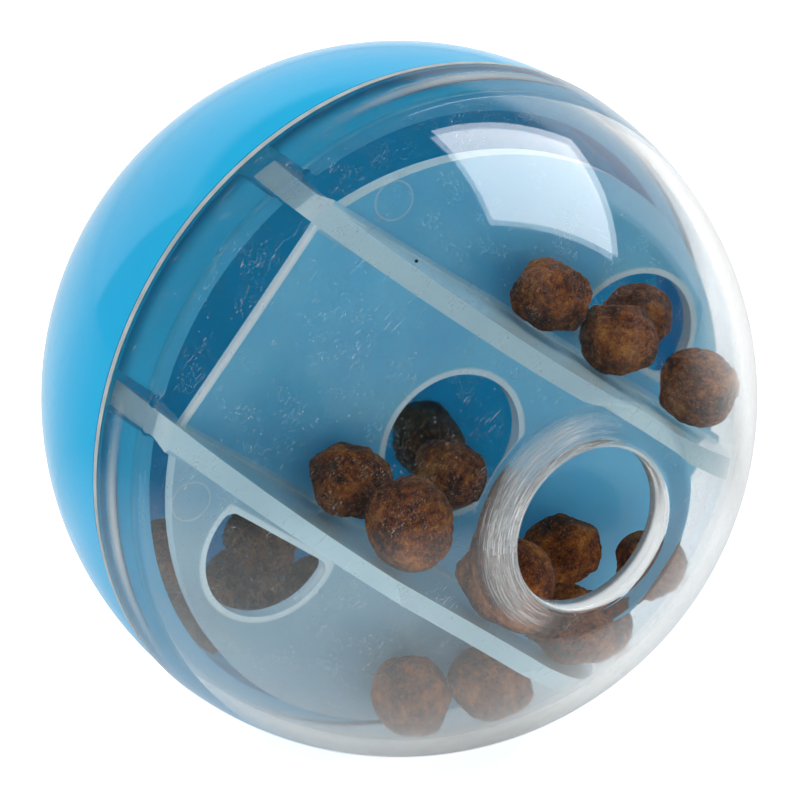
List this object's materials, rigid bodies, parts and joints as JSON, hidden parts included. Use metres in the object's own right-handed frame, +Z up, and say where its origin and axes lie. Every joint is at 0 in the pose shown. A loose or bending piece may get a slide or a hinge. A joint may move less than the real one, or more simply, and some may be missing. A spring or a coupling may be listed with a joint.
{
  "type": "treat ball",
  "caption": "Round treat ball for pets: blue rear shell, clear front dome with a round outlet, and a milky labyrinth insert that holds brown kibbles.",
  "frame": {"origin": "centre of the ball, on its axis and in the plane of the seam between the halves", "axes": "-Y along the axis of the ball, out through the treat outlet; +Z up as the ball lies; +X to the side that the channels fall towards"},
  "size_m": [0.07, 0.0686, 0.07],
  "materials": {
    "blue_plastic": "opaque blue, smooth and glossy, with fine dust",
    "clear_plastic": "clear and slightly hazy, with fine scratches and rings of tool marks round the outlet",
    "milky_plastic": "translucent, milky, glossy on the walls",
    "kibble": "baked brown kibble, rough and grainy, with small golden glints"
  },
  "bodies": {
    "base": {"blue_shell": "blue_plastic", "kibble_store_1": "kibble", "kibble_store_2": "kibble", "kibble_store_3": "kibble", "kibble_store_4": "kibble", "kibble_store_5": "kibble", "kibble_store_6": "kibble", "kibble_store_7": "kibble", "kibble_store_8": "kibble"},
    "maze": {"maze_insert": "milky_plastic", "kibble_upper_1": "kibble", "kibble_upper_2": "kibble", "kibble_upper_3": "kibble", "kibble_upper_4": "kibble", "kibble_middle_1": "kibble", "kibble_middle_2": "kibble", "kibble_middle_3": "kibble", "kibble_middle_4": "kibble", "kibble_middle_5": "kibble", "kibble_middle_6": "kibble", "kibble_middle_7": "kibble", "kibble_middle_8": "kibble", "kibble_lower_1": "kibble", "kibble_lower_2": "kibble"},
    "dome": {"clear_dome": "clear_plastic"}
  },
  "joints": [
    {"name": "lift_off", "type": "slide", "parent": "base", "child": "maze", "axis": [0, -1, 0], "range_m": [0, 0.045]},
    {"name": "dome_turn", "type": "hinge", "parent": "maze", "child": "dome", "pos_m": [0, 0, 0], "axis": [0, -1, 0], "range_deg": [0, 180]}
  ]
}
